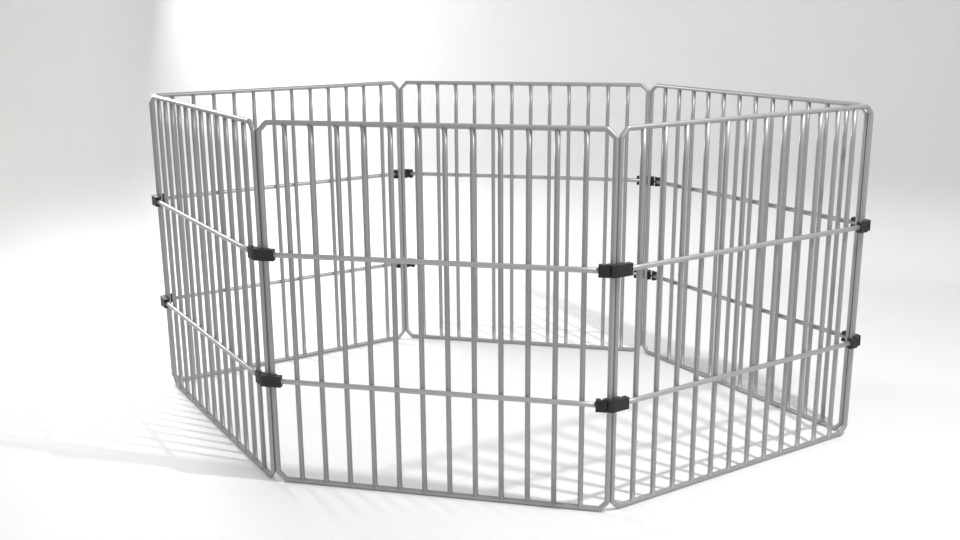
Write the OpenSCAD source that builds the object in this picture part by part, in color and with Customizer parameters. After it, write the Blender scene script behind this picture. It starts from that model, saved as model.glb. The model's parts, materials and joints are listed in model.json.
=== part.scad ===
// Free-standing calf pen: six barred steel panels, joined into a ring by clip-on plastic corner hinges.
//
// The ring stands on z = 0 with its middle on the Z axis. A panel is drawn in its own frame: x runs
// along it from the hinge axis at its left end, as seen from outside, -y is outwards and z is up.
// That left axis is the right upright of the panel before it, so every panel turns on its
// neighbour's upright, and the six hinge axes are the corners of a six-sided ring of equal sides.

/* [Panel] */

// Height of a panel over its top rail
panel_h = 1000; // [800:10:1300]
// Distance between neighbouring uprights, centre to centre
bar_pitch = 70; // [55:1:90]
// Number of upright bars inside each frame
bar_count = 12; // [4:1:14]
// Diameter of the round bar in the frames and the upright bars
bar_d = 14; // [10:0.5:18]
// How far each corner of a frame is cut back, along the rail and along the upright
corner_cut = 21; // [12:1:60]
// How far the dressed weld at each elbow stands proud of the bar
elbow_dressing = 0.02; // [0.01:0.01:0.3]

/* [Cross bars] */

// Diameter of the round cross bars
cross_d = 14; // [10:0.5:18]
// Height of the lower cross bar's centre
cross_low_z = 300; // [120:5:450]
// Height of the upper cross bar's centre
cross_high_z = 650; // [500:5:720]

/* [Corners] */

// Angle that the ring turns through at its front and back corners, and at the side corners the rest
turn = 45; // [33:1:90]
// Gap between the two uprights that stand side by side at a corner
upright_gap = 1; // [1:0.1:4]

/* [Corner clips] */

// Height of a clip
clip_h = 31; // [28:1:50]
// Thickness of a clip's wall outside its cross bar
clip_wall = 2.5; // [2:0.1:5]
// How far the round barrel stands proud of the flat face of the clip
barrel_crown = 0.1; // [0.1:0.1:4]
// How far the barrel is cut back behind the edge that faces the keeper, so that a slit shows there
barrel_relief = 5; // [2:0.5:7]
// Length of the hinge clip along its own cross bar, from its upright's centre
leaf_l = 30; // [20:1:60]
// Length of cross bar that the keeper grips
keeper_grip = 9; // [6:1:40]
// Wall of the keeper between the cross bar's end and the barrel
end_wall = 1; // [0.8:0.1:4]
// How much narrower the mouth of a channel is than its cross bar
snap_bite = 1; // [0.5:0.1:2]
// Thickness of the two lips that hook round the uprights
lip_wall = 5; // [3:0.5:7]
// Height of the tongue that keeps a barrel level with its keeper
tongue_h = 6; // [4:0.5:10]
// How deep the tongue reaches into the barrel
tongue_l = 2; // [1:0.5:3]

/* [Clearances] */

// Running clearance round the upright that a panel turns on
pin_clear = 0.05; // [0.02:0.01:0.1]
// Clearance of a clip round its own panel's bars
seat_clear = 0.1; // [0.05:0.05:0.4]
// Gap between a barrel and its keeper
run_gap = 0.3; // [0.3:0.1:3]
// Gap between bars that are welded together, bridged by the weld
weld_gap = 0.1; // [0.05:0.01:0.2]

/* [Hidden] */

$fn = 64;

STEEL = "#9a9a97";
PLASTIC = "#2b2b2a";

PANELS = ["front", "right", "back_right", "back", "back_left", "left"];
PIECES = ["frame", "bars", "upper_cross_bar", "lower_cross_bar",
          "upper_hinge_clip", "lower_hinge_clip", "upper_keeper", "lower_keeper"];

bar_r = bar_d / 2;
cross_r = cross_d / 2;

// The left upright stands beside the hinge axis, and the right upright is the next hinge axis.
left_x = bar_d + upright_gap;
right_x = left_x + (bar_count + 1) * bar_pitch;

// Cross bars lie against the outer side of the upright bars.
cross_y = -(bar_r + weld_gap + cross_r);

// The clip: its flat outer face, its inner face just off the uprights, and its round barrel.
face_y = cross_y - cross_r - clip_wall;
inner_y = -(bar_r + seat_clear);
barrel_r = -face_y + barrel_crown;
relief_r = barrel_r - barrel_relief;
keeper_r = barrel_r + run_gap;
pin_bore_r = bar_r + pin_clear;
seat_bore_r = bar_r + seat_clear;
cross_bore_r = cross_r + seat_clear;
mouth_h = cross_d - snap_bite;

// The cross bar starts on its left upright and stops short of the barrel on its right upright.
cross_start_x = left_x - bar_r;
cross_end_x = right_x - keeper_r - end_wall;
leaf_end_x = left_x + leaf_l;
keeper_start_x = right_x - keeper_r - keeper_grip;

// Polar angles round the hinge axis, 270 being outwards: the barrel's jaw and the hook at its tip,
// the end of the stretch that is cut back, and the end of the groove that the tongue runs in.
jaw_angle = 157;
hook_angle = 135;
relief_end_angle = 225;
groove_end_angle = 219;
tongue_angles = [200, 214];

// Where each panel's left hinge axis is, and the way that the panel runs from it.
side = right_x * cos(turn);
depth = right_x * sin(turn);
CORNERS = [[-right_x / 2, -depth], [right_x / 2, -depth], [right_x / 2 + side, 0],
           [right_x / 2, depth], [-right_x / 2, depth], [-right_x / 2 - side, 0]];
HEADINGS = [0, turn, 180 - turn, 180, 180 + turn, 360 - turn];

module at_panel(i) {
    translate([CORNERS[i].x, CORNERS[i].y, 0])
        rotate([0, 0, HEADINGS[i]])
            children();
}

// A flat piece between two radii and two angles round the hinge axis
module ring_sector(r_in, r_out, from, to) {
    steps = ceil((to - from) / 30);
    reach = 2 * r_out;
    intersection() {
        difference() {
            circle(r_out);
            circle(r_in);
        }
        polygon(concat([[0, 0]],
                       [for (i = [0:steps]) reach * [cos(from + (to - from) * i / steps),
                                                     sin(from + (to - from) * i / steps)]]));
    }
}

// A round bar that lies along x
module bar_along_x(from, to, r) {
    translate([from, 0, 0])
        rotate([0, 90, 0])
            cylinder(h = to - from, r = r);
}

// A cut-back corner of the frame, from the foot of an upright to the end of a rail, with the corner
// point of their centre lines at the origin
module cut_corner() {
    translate([0, 0, corner_cut])
        rotate([0, 135, 0])
            cylinder(h = corner_cut * sqrt(2), r = bar_r);
    for (elbow = [[0, 0, corner_cut], [corner_cut, 0, 0]])
        translate(elbow)
            sphere(bar_r + elbow_dressing);
}

// The frame: round bar welded into a rectangle with its corners cut back
module frame() {
    half_w = (right_x - left_x) / 2;
    half_h = panel_h / 2 - bar_r;
    color(STEEL)
        translate([left_x + half_w, 0, panel_h / 2]) {
            for (z = [-half_h, half_h])
                translate([0, 0, z])
                    bar_along_x(corner_cut - half_w, half_w - corner_cut, bar_r);
            for (x = [-half_w, half_w])
                translate([x, 0, corner_cut - half_h])
                    cylinder(h = 2 * (half_h - corner_cut), r = bar_r);
            for (flip_x = [0, 1], flip_z = [0, 1])
                mirror([flip_x, 0, 0])
                    mirror([0, 0, flip_z])
                        translate([-half_w, 0, -half_h])
                            cut_corner();
        }
}

// The upright bars inside the frame, their ends coped to the round of the rails
module bars() {
    color(STEEL)
        for (i = [1:bar_count])
            translate([left_x + i * bar_pitch, 0, 0])
                difference() {
                    translate([0, 0, bar_r])
                        cylinder(h = panel_h - bar_d, r = bar_r);
                    for (z = [bar_r, panel_h - bar_r])
                        translate([0, 0, z])
                            bar_along_x(-bar_d, bar_d, bar_r + weld_gap);
                }
}

// A cross bar, welded to the outer side of the uprights
module cross_bar(z) {
    color(STEEL)
        translate([0, cross_y, z])
            bar_along_x(cross_start_x, cross_end_x, cross_r);
}

// The channel that snaps over a cross bar, with its mouth towards the inside of the ring
module cross_bar_channel(from, to) {
    translate([0, cross_y, 0])
        bar_along_x(from, to, cross_bore_r);
    translate([from, cross_y, -mouth_h / 2])
        cube([to - from, bar_r - cross_y, mouth_h]);
}

// The hinge clip: it holds its own cross bar and upright, and its round barrel hooks over the
// neighbour's upright, on which it turns
module hinge_clip(z) {
    neck_y = -bar_r / 2;
    color(PLASTIC)
        translate([0, 0, z])
            difference() {
                translate([0, 0, -clip_h / 2])
                    linear_extrude(clip_h)
                        difference() {
                            union() {
                                ring_sector(bar_r, relief_r, jaw_angle, 360);
                                ring_sector(bar_r, barrel_r, relief_end_angle, 360);
                                ring_sector(bar_r, bar_r + lip_wall, hook_angle, jaw_angle + 1);
                                translate([0, face_y])
                                    square([leaf_end_x, inner_y - face_y]);
                                translate([left_x, -bar_r])
                                    square([seat_bore_r + lip_wall, bar_r]);
                            }
                            circle(pin_bore_r);
                            translate([left_x, 0])
                                circle(seat_bore_r);
                            translate([0, neck_y])
                                square([left_x, bar_r]);
                        }
                cross_bar_channel(cross_start_x - seat_clear, leaf_end_x + 1);
                translate([0, 0, -tongue_h / 2 - run_gap])
                    linear_extrude(tongue_h + 2 * run_gap)
                        ring_sector(relief_r - tongue_l - run_gap, relief_r + 1,
                                    jaw_angle - 10, groove_end_angle);
            }
}

// The keeper: it caps the end of the cross bar, with a hollow end that the neighbour's barrel turns
// in and a tongue that runs in the barrel's groove
module keeper(z) {
    color(PLASTIC)
        translate([0, 0, z])
            difference() {
                union() {
                    translate([0, 0, -clip_h / 2])
                        linear_extrude(clip_h)
                            difference() {
                                translate([keeper_start_x, face_y])
                                    square([right_x - keeper_start_x, inner_y - face_y]);
                                translate([right_x, 0])
                                    circle(keeper_r);
                            }
                    translate([right_x, 0, -tongue_h / 2])
                        linear_extrude(tongue_h)
                            ring_sector(relief_r - tongue_l, keeper_r + end_wall / 2,
                                        tongue_angles[0], tongue_angles[1]);
                }
                cross_bar_channel(keeper_start_x - 1, cross_end_x + seat_clear);
            }
}

module piece(name) {
    if (name == "frame") frame();
    if (name == "bars") bars();
    if (name == "upper_cross_bar") cross_bar(cross_high_z);
    if (name == "lower_cross_bar") cross_bar(cross_low_z);
    if (name == "upper_hinge_clip") hinge_clip(cross_high_z);
    if (name == "lower_hinge_clip") hinge_clip(cross_low_z);
    if (name == "upper_keeper") keeper(cross_high_z);
    if (name == "lower_keeper") keeper(cross_low_z);
}

for (i = [0:len(PANELS) - 1], name = PIECES)
    at_panel(i)
            piece(name);
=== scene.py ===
# A free-standing calf pen: six barred steel panels in a ring, joined at the corners by plastic hinge clips.
# Each piece is worked out in its panel's own frame, x along the panel from its left hinge axis, -y outwards
# and z up, and is then set in the ring.
import json
from math import radians

import bmesh
import bpy
import numpy as np
from mathutils import Matrix, Vector


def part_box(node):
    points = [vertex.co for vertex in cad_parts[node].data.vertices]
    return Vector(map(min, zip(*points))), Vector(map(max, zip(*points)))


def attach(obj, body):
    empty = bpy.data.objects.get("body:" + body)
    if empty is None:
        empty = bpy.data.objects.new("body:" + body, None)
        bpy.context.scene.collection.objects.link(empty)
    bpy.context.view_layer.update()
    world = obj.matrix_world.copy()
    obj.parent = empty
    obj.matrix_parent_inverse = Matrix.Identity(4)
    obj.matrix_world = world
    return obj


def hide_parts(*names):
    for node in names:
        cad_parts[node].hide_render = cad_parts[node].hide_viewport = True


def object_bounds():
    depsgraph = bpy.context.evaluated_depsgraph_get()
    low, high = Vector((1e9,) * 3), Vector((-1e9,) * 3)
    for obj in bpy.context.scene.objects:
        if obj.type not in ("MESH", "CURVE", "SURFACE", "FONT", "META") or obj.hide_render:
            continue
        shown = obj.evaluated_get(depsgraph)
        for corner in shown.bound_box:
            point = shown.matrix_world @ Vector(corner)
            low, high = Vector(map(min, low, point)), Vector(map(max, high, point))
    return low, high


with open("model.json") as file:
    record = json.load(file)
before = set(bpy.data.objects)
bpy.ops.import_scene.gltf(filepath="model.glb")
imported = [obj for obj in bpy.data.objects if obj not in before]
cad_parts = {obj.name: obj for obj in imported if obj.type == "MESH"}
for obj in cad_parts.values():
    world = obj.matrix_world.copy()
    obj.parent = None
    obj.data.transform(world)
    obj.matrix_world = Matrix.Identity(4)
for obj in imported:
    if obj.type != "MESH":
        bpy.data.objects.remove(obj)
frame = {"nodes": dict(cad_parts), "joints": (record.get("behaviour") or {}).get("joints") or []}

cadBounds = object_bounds()
scene = bpy.context.scene

# The ring: where each panel's left hinge axis is, and the way that the panel runs from it
panels = ["front", "right", "back_right", "back", "back_left", "left"]
levels = ["upper", "lower"]
hingeAt = {joint["name"]: np.array(joint["pos_m"][:2]) for joint in frame["joints"]}
corners = [hingeAt["left_hinge"], hingeAt["right_hinge"], hingeAt["back_right_hinge"],
           hingeAt["back_hinge"], -hingeAt["right_hinge"], hingeAt["back_left_hinge"]]
runs = [corners[(i + 1) % len(corners)] - corners[i] for i in range(len(corners))]
headings = [np.arctan2(run[1], run[0]) for run in runs]


# The box of one of the front panel's nodes, in the panel's own frame
def localBox(node):
    low, high = (np.array(corner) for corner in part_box("front_" + node))
    shift = np.array([corners[0][0], corners[0][1], 0])
    return low - shift, high - shift


# The panel's sizes, read from the frame
frameLow, frameHigh = localBox("frame")
barsLow, barsHigh = localBox("bars")
crossLow, crossHigh = localBox("upper_cross_bar")
crossHeights = {level: np.mean([corner[2] for corner in localBox(level + "_cross_bar")])
                for level in levels}
barRadius = (frameHigh[1] - frameLow[1]) / 2
crossRadius = (crossHigh[1] - crossLow[1]) / 2
crossY = (crossLow[1] + crossHigh[1]) / 2
leftX, rightX = frameLow[0] + barRadius, frameHigh[0] - barRadius
bottomZ, topZ = barRadius, frameHigh[2] - barRadius
barCount = 12
barXs = np.linspace(barsLow[0] + barRadius, barsHigh[0] - barRadius, barCount)
print(f"panel: bars {2000 * barRadius:.1f} mm thick, {1000 * (barXs[1] - barXs[0]):.1f} mm apart")


# Turns points from a panel's own frame by its heading and moves them to its hinge axis
def setInRing(points, panel):
    i = panels.index(panel)
    c, s = np.cos(headings[i]), np.sin(headings[i])
    x = corners[i][0] + c * points[:, 0] - s * points[:, 1]
    y = corners[i][1] + s * points[:, 0] + c * points[:, 1]
    return np.stack([x, y, points[:, 2]], axis=1)


# Quads between neighbouring rows of a grid whose columns close into a ring
def gridQuads(rows, columns, loopRows=False):
    r = np.arange(rows if loopRows else rows - 1)[:, None]
    c = np.arange(columns)[None, :]
    nextRow, nextColumn = (r + 1) % rows, (c + 1) % columns
    quads = [r * columns + c, r * columns + nextColumn, nextRow * columns + nextColumn, nextRow * columns + c]
    return np.stack(np.broadcast_arrays(*quads), axis=-1).reshape(-1, 4)


# A closed skin over rows of points: the quads of the grid, and a fan from the first and the last row to
# a pole, which is the row's own middle
def closedSkin(rows):
    count, columns = rows.shape[:2]
    points = np.concatenate([rows.reshape(-1, 3), rows[0].mean(axis=0)[None], rows[-1].mean(axis=0)[None]])
    ring = np.arange(columns)
    following = (ring + 1) % columns
    last = (count - 1) * columns
    firstFan = np.stack([following, ring, np.full(columns, count * columns)], axis=1)
    lastFan = np.stack([ring + last, following + last, np.full(columns, count * columns + 1)], axis=1)
    return points, gridQuads(count, columns), np.concatenate([firstFan, lastFan])


# A skin that closes on itself both ways, such as a frame's loop or a weld bead
def loopSkin(rows):
    count, columns = rows.shape[:2]
    return rows.reshape(-1, 3), gridQuads(count, columns, loopRows=True), np.zeros((0, 3), int)


# Makes every closed skin's faces point outwards
def turnOutwards(mesh):
    work = bmesh.new()
    work.from_mesh(mesh)
    bmesh.ops.recalc_face_normals(work, faces=work.faces)
    work.to_mesh(mesh)
    work.free()


# Joins skins into one smooth mesh that rides on its panel
def buildPiece(name, skins, panel, material, replaced=()):
    starts = np.cumsum([0] + [len(skin[0]) for skin in skins[:-1]])
    points = np.concatenate([skin[0] for skin in skins])
    faces = [face for skin, start in zip(skins, starts) for block in skin[1:]
             for face in (block + start).tolist()]
    mesh = bpy.data.meshes.new(name)
    mesh.from_pydata(setInRing(points, panel).tolist(), [], faces)
    turnOutwards(mesh)
    mesh.shade_smooth()
    mesh.materials.append(material)
    piece = bpy.data.objects.new(name, mesh)
    scene.collection.objects.link(piece)
    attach(piece, panel)
    if replaced:
        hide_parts(*replaced)


# Frame: a circle carried round a rectangle with cut corners, whose eight elbows are arcs
frameSettings = {"cut": 0.021, "bendRadius": 0.009, "stepsPerBend": 6, "sides": 28}


def frameSkin():
    s = frameSettings
    half = np.array([(rightX - leftX) / 2, (topZ - bottomZ) / 2])
    middle = np.array([(rightX + leftX) / 2, (topZ + bottomZ) / 2])
    cut = s["cut"]
    # the elbows, anticlockwise from the foot of the right upright, and the heading that leads into each
    signs = np.array([[1, -1], [1, 1], [-1, 1], [-1, -1]])
    rail, upright = np.array([cut, 0]), np.array([0, cut])
    elbows = []
    for k, sign in enumerate(signs):
        onRail = sign * (half - rail)
        onUpright = sign * (half - upright)
        elbows += [onRail, onUpright] if k % 2 == 0 else [onUpright, onRail]
    elbows = np.array(elbows)
    inward = np.arange(len(elbows)) * np.pi / 4
    tangentLength = s["bendRadius"] * np.tan(np.pi / 8)
    starts = elbows - tangentLength * np.stack([np.cos(inward), np.sin(inward)], axis=1)
    centres = starts + s["bendRadius"] * np.stack([-np.sin(inward), np.cos(inward)], axis=1)
    turn = inward[:, None] + np.linspace(0, np.pi / 4, s["stepsPerBend"] + 1)[None, :]
    path = centres[:, None, :] + s["bendRadius"] * np.stack([np.sin(turn), -np.cos(turn)], axis=2)
    path, heading = path.reshape(-1, 2) + middle, turn.reshape(-1)
    # round the path: r cos a across it within the panel's plane, and r sin a out of the plane
    a = np.linspace(0, 2 * np.pi, s["sides"], endpoint=False)[None, :]
    across = barRadius * np.cos(a)
    x = path[:, :1] + across * np.sin(heading)[:, None]
    z = path[:, 1:] - across * np.cos(heading)[:, None]
    y = np.broadcast_to(barRadius * np.sin(a), x.shape)
    return loopSkin(np.stack([x, y, z], axis=2))


# Upright bars: tubes of radius r whose ends follow the round of the rails. The share of r rises from the
# middle of the foot to its rim, stays 1 along the tube and falls again over the head.
barSettings = {"sides": 24, "endRings": [0.0, 0.35, 0.7, 0.93, 1.0], "rows": 12}


# Height of the surface of a rail above or below its own axis, at a distance y from its plane:
# sqrt(r^2 - y^2)
def railDrop(y):
    return np.sqrt(np.maximum(barRadius ** 2 - y ** 2, 0))


def barSkin(x):
    a = np.linspace(0, 2 * np.pi, barSettings["sides"], endpoint=False)[None, :]
    ends = np.array(barSettings["endRings"][1:])[:, None]
    share = np.linspace(0, 1, barSettings["rows"])[:, None]
    out = np.concatenate([ends, np.ones_like(share), ends[::-1]])
    dx, dy = barRadius * out * np.cos(a), barRadius * out * np.sin(a)
    foot = bottomZ + railDrop(dy)
    head = topZ - railDrop(dy)
    along = np.concatenate([np.zeros_like(ends), share, np.ones_like(ends)])
    z = foot + (head - foot) * along
    return closedSkin(np.stack([x + dx, dy, z], axis=2))


# Cross bars: a profile r(x) turned about its own length, with its cut ends chamfered
crossSettings = {"sides": 24, "chamfer": 0.0008, "rows": 14}


def crossSkin(level):
    s = crossSettings
    a = np.linspace(0, 2 * np.pi, s["sides"], endpoint=False)[None, :]
    along = np.linspace(crossLow[0] + s["chamfer"], crossHigh[0] - s["chamfer"], s["rows"])
    x = np.concatenate([[crossLow[0], crossLow[0]], along, [crossHigh[0], crossHigh[0]]])[:, None]
    inner = crossRadius - s["chamfer"]
    r = np.concatenate([[inner / 2, inner], np.full(len(along), crossRadius), [inner, inner / 2]])[:, None]
    y = crossY - r * np.sin(a)
    z = crossHeights[level] - r * np.cos(a)
    return closedSkin(np.stack([np.broadcast_to(x, y.shape), y, z], axis=2))


# Welds at the bars' ends: a bead carried round the seam where a bar meets its rail. It is thickest in
# front of and behind the rail's crown and thins out where the two rounds run into each other.
endWeldSettings = {"around": 20, "sides": 6, "bead": 0.0017, "thinnest": 0.45}


def endWeldSkin(x, atTop):
    s = endWeldSettings
    a = np.linspace(0, 2 * np.pi, s["around"], endpoint=False)[:, None]
    b = np.linspace(0, 2 * np.pi, s["sides"], endpoint=False)[None, :]
    bead = s["bead"] * (s["thinnest"] + (1 - s["thinnest"]) * np.cos(a) ** 2)
    out = barRadius + bead * np.cos(b)
    seam = railDrop(barRadius * np.sin(a)) + bead * np.sin(b)
    z = topZ - seam if atTop else bottomZ + seam
    return loopSkin(np.stack([x + out * np.cos(a), out * np.sin(a), z], axis=2))


# Welds at the crossings: a low pad between a cross bar and an upright, an ellipsoid flattened along y
crossWeldSettings = {"around": 12, "rows": 5, "reach": 0.0043, "depth": 0.0024}


def crossWeldSkin(x, level):
    s = crossWeldSettings
    a = np.linspace(0, 2 * np.pi, s["around"], endpoint=False)[None, :]
    tilt = np.linspace(-np.pi / 2, np.pi / 2, s["rows"] + 2)[1:-1, None]
    out = s["reach"] * np.cos(tilt)
    y = crossY + crossRadius + np.broadcast_to(s["depth"] * np.sin(tilt), (s["rows"], s["around"]))
    return closedSkin(np.stack([x + out * np.sin(a), y, crossHeights[level] + out * np.cos(a)], axis=2))


# Clips: a copy of the moulding from the frame, with its flat faces joined up and its edges rounded
clipSettings = {"edgeRadius": 0.0006, "edgeSteps": 3, "sharpAngle": radians(32), "flatAngle": radians(1),
                "mergeDistance": 1e-6}


def mouldClip(node, panel, material):
    s = clipSettings
    mesh = frame["nodes"][node].data.copy()
    work = bmesh.new()
    work.from_mesh(mesh)
    bmesh.ops.remove_doubles(work, verts=work.verts, dist=s["mergeDistance"])
    bmesh.ops.dissolve_limit(work, angle_limit=s["flatAngle"], verts=work.verts, edges=work.edges)
    work.to_mesh(mesh)
    work.free()
    mesh.materials.clear()
    mesh.materials.append(material)
    mesh.shade_smooth()
    piece = bpy.data.objects.new(node + "_moulding", mesh)
    scene.collection.objects.link(piece)
    rounding = piece.modifiers.new("softEdges", "BEVEL")
    rounding.width = s["edgeRadius"]
    rounding.segments = s["edgeSteps"]
    rounding.limit_method = "ANGLE"
    rounding.angle_limit = s["sharpAngle"]
    rounding.use_clamp_overlap = True
    shading = piece.modifiers.new("evenShading", "WEIGHTED_NORMAL")
    shading.keep_sharp = False
    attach(piece, panel)
    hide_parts(node)


# Adds a node to a tree, with values for its sockets and its settings
def addNode(tree, kind, values=(), **settings):
    node = tree.nodes.new(kind)
    for key, value in settings.items():
        setattr(node, key, value)
    for socket, value in dict(values).items():
        node.inputs[socket].default_value = value
    return node


# Adds a group's sockets and its two end nodes
def startGroup(name, inputs, outputs):
    group = bpy.data.node_groups.new(name, "ShaderNodeTree")
    for label, value in inputs.items():
        group.interface.new_socket(label, in_out="INPUT", socket_type="NodeSocketFloat").default_value = value
    for label in outputs:
        group.interface.new_socket(label, in_out="OUTPUT", socket_type="NodeSocketFloat")
    return group, addNode(group, "NodeGroupInput"), addNode(group, "NodeGroupOutput")


# Grain: three sizes of noise, from broad clouds to the fine texture of a coat or a mould. The patches are
# so many times finer than the clouds.
grainSettings = {"broadScale": 6, "fineScale": 900, "patchRatio": 14}


def makeGrainGroup():
    s = grainSettings
    scales = {"Broad Scale": s["broadScale"], "Fine Scale": s["fineScale"]}
    group, start, end = startGroup("surfaceGrain", scales, ["Clouds", "Patches", "Fine"])
    place = addNode(group, "ShaderNodeTexCoord")
    clouds = addNode(group, "ShaderNodeTexNoise", {"Detail": 3, "Roughness": 0.55})
    patches = addNode(group, "ShaderNodeTexNoise", {"Detail": 4, "Roughness": 0.6})
    fine = addNode(group, "ShaderNodeTexNoise", {"Detail": 2, "Roughness": 0.5})
    closer = addNode(group, "ShaderNodeMath", {1: s["patchRatio"]}, operation="MULTIPLY")
    for noise in (clouds, patches, fine):
        group.links.new(place.outputs["Object"], noise.inputs["Vector"])
    group.links.new(start.outputs["Broad Scale"], clouds.inputs["Scale"])
    group.links.new(start.outputs["Broad Scale"], closer.inputs[0])
    group.links.new(closer.outputs[0], patches.inputs["Scale"])
    group.links.new(start.outputs["Fine Scale"], fine.inputs["Scale"])
    for noise, label in ((clouds, "Clouds"), (patches, "Patches"), (fine, "Fine")):
        group.links.new(noise.outputs["Fac"], end.inputs[label])
    return group


# Painted top light and dust: a paler mask that is strongest on faces that look up, as painted light from
# above, and close to the floor, as dust, broken up by noise.
# onSteel and onPlastic say how much is painted on top and near the floor, and how high up that second share
# goes.
topLightAndDustSettings = {"color": (0.50, 0.48, 0.44), "facingUpFrom": 0.35, "speckleScale": 45, "sparseFrom": 0.42,
                "sparseTo": 0.68, "dulling": 0.4,
                "onSteel": {"On Top": 0.10, "Near Floor": 0.25, "Reach": 0.06},
                "onPlastic": {"On Top": 0.10, "Near Floor": 0.0, "Reach": 0.01}}


def makeDustGroup():
    s = topLightAndDustSettings
    group, start, end = startGroup("settledDust", s["onSteel"], ["Dust"])
    place = addNode(group, "ShaderNodeTexCoord")
    shape = addNode(group, "ShaderNodeNewGeometry")
    height = addNode(group, "ShaderNodeSeparateXYZ")
    lean = addNode(group, "ShaderNodeSeparateXYZ")
    group.links.new(place.outputs["Object"], height.inputs[0])
    group.links.new(shape.outputs["Normal"], lean.inputs[0])
    upward = addNode(group, "ShaderNodeMapRange", {"From Min": s["facingUpFrom"], "From Max": 1.0})
    lowDown = addNode(group, "ShaderNodeMapRange", {"From Min": 0.0, "To Min": 1.0, "To Max": 0.0})
    group.links.new(lean.outputs["Z"], upward.inputs["Value"])
    group.links.new(height.outputs["Z"], lowDown.inputs["Value"])
    group.links.new(start.outputs["Reach"], lowDown.inputs["From Max"])
    # the share on faces that look up is painted light from above; the share near the floor is dust
    topShare = addNode(group, "ShaderNodeMath", operation="MULTIPLY")
    lowShare = addNode(group, "ShaderNodeMath", operation="MULTIPLY")
    group.links.new(upward.outputs[0], topShare.inputs[0])
    group.links.new(start.outputs["On Top"], topShare.inputs[1])
    group.links.new(lowDown.outputs[0], lowShare.inputs[0])
    group.links.new(start.outputs["Near Floor"], lowShare.inputs[1])
    both = addNode(group, "ShaderNodeMath", operation="ADD", use_clamp=True)
    group.links.new(topShare.outputs[0], both.inputs[0])
    group.links.new(lowShare.outputs[0], both.inputs[1])
    speckle = addNode(group, "ShaderNodeTexNoise", {"Scale": s["speckleScale"], "Detail": 6, "Roughness": 0.7})
    sparse = addNode(group, "ShaderNodeMapRange", {"From Min": s["sparseFrom"], "From Max": s["sparseTo"]})
    broken = addNode(group, "ShaderNodeMath", operation="MULTIPLY")
    group.links.new(place.outputs["Object"], speckle.inputs["Vector"])
    group.links.new(speckle.outputs["Fac"], sparse.inputs["Value"])
    group.links.new(both.outputs[0], broken.inputs[0])
    group.links.new(sparse.outputs[0], broken.inputs[1])
    group.links.new(broken.outputs[0], end.inputs["Dust"])
    return group


grainGroup = makeGrainGroup()
topLightAndDustGroup = makeDustGroup()

# Coats: four copies of the one steel coat, the frame's and the cross bars' lightened as painted light and the
# welds' darkened as painted shade. Depths are in metres, and noise scales in waves to the metre.
coatSettings = {
    # a slightly lighter copy of the bars' coat: painted light for the rails lit from above
    "framePaintedLightCoat": {"base": (0.35, 0.35, 0.346), "clouds": 0.05, "patches": 0.05, "roughness": 0.42,
                  "roughSwing": 0.10, "fineScale": 1100, "fineDepth": 0.00003, "patchDepth": 0.00012,
                  "metallic": 0.45, "specular": 0.5},
    "barCoat": {"base": (0.335, 0.335, 0.331), "clouds": 0.05, "patches": 0.05, "roughness": 0.42,
                "roughSwing": 0.10, "fineScale": 1100, "fineDepth": 0.00003, "patchDepth": 0.00010,
                "metallic": 0.45, "specular": 0.5},
    # a lighter, more metallic copy of the bars' coat: painted highlight standing in for the cross bars'
    # glancing gloss
    "crossPaintedHighlightCoat": {"base": (0.43, 0.43, 0.426), "clouds": 0.05, "patches": 0.05, "roughness": 0.42,
                  "roughSwing": 0.10, "fineScale": 1100, "fineDepth": 0.00003, "patchDepth": 0.00010,
                  "metallic": 0.65, "specular": 0.5},
    # a darker copy of the bars' coat: painted shade for the crevices where the welds sit; its stronger patches
    # and rougher gloss are the bead's own
    "weldPaintedShadeCoat": {"base": (0.30, 0.30, 0.296), "clouds": 0.04, "patches": 0.10, "roughness": 0.44,
                 "roughSwing": 0.12, "fineScale": 700, "fineDepth": 0.00006, "patchDepth": 0.00030,
                 "metallic": 0.40, "specular": 0.5},
}

# Plastics: the two mouldings' matt black
plasticSettings = {
    "hingePlastic": {"base": (0.022, 0.022, 0.021), "clouds": 0.25, "patches": 0.20, "roughness": 0.50,
                     "roughSwing": 0.12, "fineScale": 1600, "fineDepth": 0.00006, "patchDepth": 0.00004,
                     "metallic": 0.0, "specular": 0.3},
    "keeperPlastic": {"base": (0.020, 0.020, 0.019), "clouds": 0.25, "patches": 0.20, "roughness": 0.52,
                      "roughSwing": 0.12, "fineScale": 1600, "fineDepth": 0.00006, "patchDepth": 0.00004,
                      "metallic": 0.0, "specular": 0.3},
}
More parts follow.
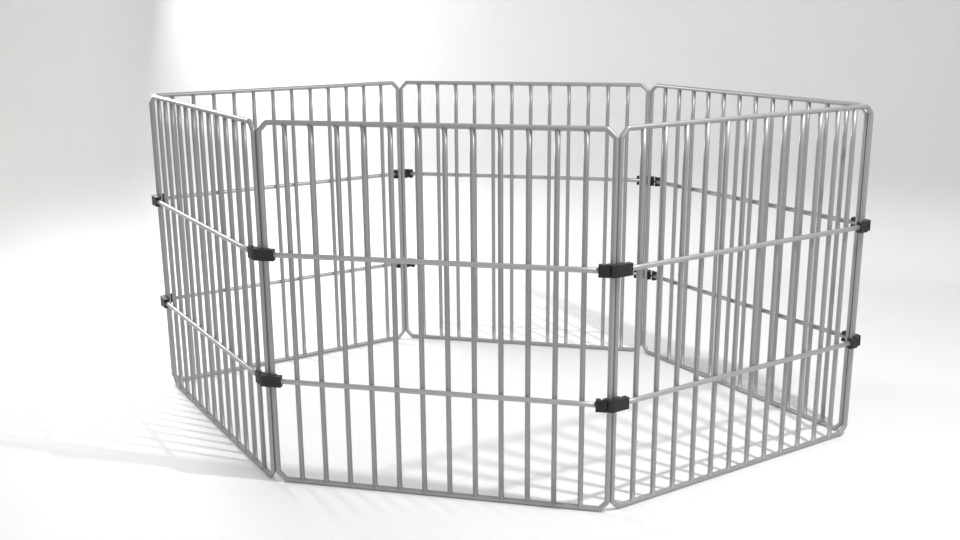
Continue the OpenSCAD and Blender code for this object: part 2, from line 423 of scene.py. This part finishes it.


# A surface whose colour and gloss drift a little, with a fine texture, painted light on faces that look up and
# some dust near the floor. The drift is base * (1 + clouds * (2c - 1) + patches * (2p - 1)), where c and p are
# the two coarser noises.
def makeSurface(name, s, topLightAndDustShares):
    material = bpy.data.materials.new(name)
    material.use_nodes = True
    tree = material.node_tree
    shader = tree.nodes["Principled BSDF"]
    shader.inputs["Metallic"].default_value = s["metallic"]
    shader.inputs["Specular IOR Level"].default_value = s["specular"]
    grain = addNode(tree, "ShaderNodeGroup", node_tree=grainGroup)
    grain.inputs["Fine Scale"].default_value = s["fineScale"]
    topLightAndDustMask = addNode(tree, "ShaderNodeGroup", node_tree=topLightAndDustGroup)
    for label, value in topLightAndDustShares.items():
        topLightAndDustMask.inputs[label].default_value = value

    drift = addNode(tree, "ShaderNodeMath", {1: 2 * s["clouds"], 2: 1 - s["clouds"] - s["patches"]},
                    operation="MULTIPLY_ADD")
    finer = addNode(tree, "ShaderNodeMath", {1: 2 * s["patches"]}, operation="MULTIPLY_ADD")
    tint = addNode(tree, "ShaderNodeVectorMath", {0: s["base"]}, operation="SCALE")
    tree.links.new(grain.outputs["Clouds"], drift.inputs[0])
    tree.links.new(grain.outputs["Patches"], finer.inputs[0])
    tree.links.new(drift.outputs[0], finer.inputs[2])
    tree.links.new(finer.outputs[0], tint.inputs["Scale"])
    # mixes a paler colour into the coat: painted light on faces that look up, and dust near the floor
    topLitAndDusted = addNode(tree, "ShaderNodeMix", data_type="RGBA")
    topLitAndDusted.inputs["B"].default_value = (*topLightAndDustSettings["color"], 1)
    tree.links.new(topLightAndDustMask.outputs["Dust"], topLitAndDusted.inputs["Factor"])
    tree.links.new(tint.outputs[0], topLitAndDusted.inputs["A"])
    tree.links.new(topLitAndDusted.outputs["Result"], shader.inputs["Base Color"])

    gloss = addNode(tree, "ShaderNodeMath", {1: s["roughSwing"], 2: s["roughness"] - s["roughSwing"] / 2},
                    operation="MULTIPLY_ADD")
    dulled = addNode(tree, "ShaderNodeMath", {1: topLightAndDustSettings["dulling"]}, operation="MULTIPLY_ADD",
                     use_clamp=True)
    tree.links.new(grain.outputs["Patches"], gloss.inputs[0])
    tree.links.new(topLightAndDustMask.outputs["Dust"], dulled.inputs[0])
    tree.links.new(gloss.outputs[0], dulled.inputs[2])
    tree.links.new(dulled.outputs[0], shader.inputs["Roughness"])

    waves = addNode(tree, "ShaderNodeBump", {"Distance": s["patchDepth"]})
    texture = addNode(tree, "ShaderNodeBump", {"Distance": s["fineDepth"]})
    tree.links.new(grain.outputs["Patches"], waves.inputs["Height"])
    tree.links.new(grain.outputs["Fine"], texture.inputs["Height"])
    tree.links.new(waves.outputs["Normal"], texture.inputs["Normal"])
    tree.links.new(texture.outputs["Normal"], shader.inputs["Normal"])
    return material


coats = {name: makeSurface(name, s, topLightAndDustSettings["onSteel"]) for name, s in coatSettings.items()}
plastics = {name: makeSurface(name, s, topLightAndDustSettings["onPlastic"]) for name, s in plasticSettings.items()}
print("materials:", ", ".join([*coats, *plastics]))

for panel in panels:
    buildPiece(panel + "_frame_loop", [frameSkin()], panel, coats["framePaintedLightCoat"],
               [panel + "_frame"])
    buildPiece(panel + "_upright_bars", [barSkin(x) for x in barXs], panel, coats["barCoat"],
               [panel + "_bars"])
    buildPiece(panel + "_end_welds", [endWeldSkin(x, atTop) for x in barXs for atTop in (False, True)],
               panel, coats["weldPaintedShadeCoat"])
    for level in levels:
        node = f"{panel}_{level}_cross_bar"
        buildPiece(node + "_rod", [crossSkin(level)], panel, coats["crossPaintedHighlightCoat"], [node])
        buildPiece(f"{panel}_{level}_cross_welds", [crossWeldSkin(x, level) for x in (leftX, *barXs)],
                   panel, coats["weldPaintedShadeCoat"])
        mouldClip(f"{panel}_{level}_hinge_clip", panel, plastics["hingePlastic"])
        mouldClip(f"{panel}_{level}_keeper", panel, plastics["keeperPlastic"])
    print("built the", panel, "panel")


# The stage: a wide pale floor, and a plain backdrop that curves up from it behind the pen and on its left.
# Its foot is a smaller round than its turn, so that the foot doesn't fold over in the corner.
stageSettings = {"reach": 60.0, "corner": (-2.45, 2.25), "turnRadius": 0.5, "footRadius": 0.45, "height": 5.0,
                 "leftReach": 6.0, "backReach": 12.0, "steps": 24,
                 "floorBase": (0.88, 0.88, 0.875), "backdropBase": (0.64, 0.64, 0.635), "blendHeight": 0.5,
                 "roughness": 0.6, "drift": 0.04}


# Adds a stage piece from a grid of points
def addStage(name, rows, material):
    count, columns = rows.shape[:2]
    cell = np.arange(count * columns).reshape(count, columns)
    quads = np.stack([cell[:-1, :-1], cell[:-1, 1:], cell[1:, 1:], cell[1:, :-1]], axis=-1).reshape(-1, 4)
    mesh = bpy.data.meshes.new(name)
    mesh.from_pydata(rows.reshape(-1, 3).tolist(), [], quads.tolist())
    mesh.shade_smooth()
    mesh.materials.append(material)
    piece = bpy.data.objects.new(name, mesh)
    scene.collection.objects.link(piece)


# A flat square of the stage's reach at the height that the pen stands on
def floorRows():
    sides = [-stageSettings["reach"], stageSettings["reach"]]
    x, y = np.meshgrid(sides, sides)
    return np.stack([x, y, np.full_like(x, cadBounds[0].z)], axis=2)


# A wall's profile, a quarter round at its foot and then straight up, carried along a path on the floor
# that runs up the left side, turns through a quarter round and runs on behind the pen
def backdropRows():
    s = stageSettings
    quarter = np.linspace(0, np.pi / 2, s["steps"])
    x0, y0 = s["corner"]
    r = s["turnRadius"]
    pathX = np.concatenate([[x0], x0 + r - r * np.cos(quarter), [s["backReach"]]])
    pathY = np.concatenate([[y0 - s["leftReach"]], y0 - r + r * np.sin(quarter), [y0]])
    inX = np.concatenate([[1], np.cos(quarter), [0]])
    inY = -np.concatenate([[0], np.sin(quarter), [1]])
    foot = s["footRadius"]
    inward = np.concatenate([foot * (1 - np.sin(quarter)), [0]])[:, None]
    up = np.concatenate([foot * (1 - np.cos(quarter)), [s["height"]]])[:, None]
    x, y = pathX + inward * inX, pathY + inward * inY
    return np.stack([x, y, cadBounds[0].z + np.broadcast_to(up, x.shape)], axis=2)


# A matt paint that drifts a little in tone and darkens smoothly up the backdrop's foot. With oneSided it
# lets light and the eye through from behind.
def stagePaint(name, oneSided):
    s = stageSettings
    material = bpy.data.materials.new(name)
    material.use_nodes = True
    tree = material.node_tree
    shader = tree.nodes["Principled BSDF"]
    shader.inputs["Roughness"].default_value = s["roughness"]
    grain = addNode(tree, "ShaderNodeGroup", node_tree=grainGroup)
    drift = addNode(tree, "ShaderNodeMath", {1: s["drift"], 2: 1 - s["drift"] / 2},
                    operation="MULTIPLY_ADD")
    place = addNode(tree, "ShaderNodeTexCoord")
    height = addNode(tree, "ShaderNodeSeparateXYZ")
    climb = addNode(tree, "ShaderNodeMapRange", {"From Max": s["blendHeight"]},
                    interpolation_type="SMOOTHSTEP")
    paint = addNode(tree, "ShaderNodeMix", data_type="RGBA")
    paint.inputs["A"].default_value = (*s["floorBase"], 1)
    paint.inputs["B"].default_value = (*s["backdropBase"], 1)
    tree.links.new(place.outputs["Object"], height.inputs[0])
    tree.links.new(height.outputs["Z"], climb.inputs["Value"])
    tree.links.new(climb.outputs[0], paint.inputs["Factor"])
    tint = addNode(tree, "ShaderNodeVectorMath", operation="SCALE")
    tree.links.new(paint.outputs["Result"], tint.inputs[0])
    tree.links.new(grain.outputs["Clouds"], drift.inputs[0])
    tree.links.new(drift.outputs[0], tint.inputs["Scale"])
    tree.links.new(tint.outputs[0], shader.inputs["Base Color"])
    if oneSided:
        clear = addNode(tree, "ShaderNodeBsdfTransparent")
        side = addNode(tree, "ShaderNodeNewGeometry")
        choose = addNode(tree, "ShaderNodeMixShader")
        tree.links.new(side.outputs["Backfacing"], choose.inputs[0])
        tree.links.new(shader.outputs[0], choose.inputs[1])
        tree.links.new(clear.outputs[0], choose.inputs[2])
        tree.links.new(choose.outputs[0], tree.nodes["Material Output"].inputs["Surface"])
    return material


addStage("floor", floorRows(), stagePaint("floorPaint", False))
addStage("backdrop", backdropRows(), stagePaint("backdropPaint", True))

# Light: a pale room that is a little dimmer overhead, a soft window on the left and a small lamp high on
# the right. The room's two heights are the sines of the angles that its fall starts and ends at.
lightSettings = {
    "room": {"color": (1.0, 1.0, 0.995), "level": 0.78, "overhead": 0.66, "fallFrom": 0.05, "fallTo": 0.6},
    "window": {"place": (-2.33, 1.30, 1.50), "aim": (0.0, 1.05, 1.20), "size": 1.0, "power": 58},
    "lamp": {"place": (1.51, -0.78, 2.54), "aim": (0.2, -0.2, 0.0), "size": 0.10, "power": 44},
}


def hangLight(name):
    s = lightSettings[name]
    light = bpy.data.lights.new(name, "AREA")
    light.shape = "DISK"
    light.size = s["size"]
    light.energy = s["power"]
    lamp = bpy.data.objects.new(name, light)
    lamp.location = s["place"]
    lamp.rotation_mode = "QUATERNION"
    lamp.rotation_quaternion = (Vector(s["aim"]) - Vector(s["place"])).to_track_quat("-Z", "Y")
    lamp.visible_camera = False
    scene.collection.objects.link(lamp)


for name in ("window", "lamp"):
    hangLight(name)


# The room's light falls from its level at the horizon to its strength overhead with the height looked at
def lightRoom():
    s = lightSettings["room"]
    world = bpy.data.worlds.new("room")
    world.use_nodes = True
    tree = world.node_tree
    room = tree.nodes["Background"]
    room.inputs["Color"].default_value = (*s["color"], 1)
    look = addNode(tree, "ShaderNodeTexCoord")
    height = addNode(tree, "ShaderNodeSeparateXYZ")
    falloff = addNode(tree, "ShaderNodeMapRange", {"From Min": s["fallFrom"], "From Max": s["fallTo"],
                                                   "To Min": s["level"], "To Max": s["overhead"]},
                      interpolation_type="SMOOTHSTEP")
    tree.links.new(look.outputs["Generated"], height.inputs[0])
    tree.links.new(height.outputs["Z"], falloff.inputs["Value"])
    tree.links.new(falloff.outputs[0], room.inputs["Strength"])
    scene.world = world


lightRoom()
scene.view_settings.view_transform = "Standard"

# The camera stands before the front panel, a little to the right, and looks down over the top rails
cameraSettings = {"place": (0.6971, -3.1715, 1.2968), "yaw": radians(-12.709), "pitch": radians(-14.428),
                  "roll": radians(-0.412), "lens": 39.717}


def setCamera():
    s = cameraSettings
    data = bpy.data.cameras.new("camera")
    data.lens = s["lens"]
    camera = bpy.data.objects.new("camera", data)
    turn = Matrix.Rotation(-s["yaw"], 4, "Z") @ Matrix.Rotation(radians(90) + s["pitch"], 4, "X")
    camera.matrix_world = Matrix.Translation(s["place"]) @ turn @ Matrix.Rotation(s["roll"], 4, "Z")
    scene.collection.objects.link(camera)
    scene.camera = camera


setCamera()
print("camera and lights set")
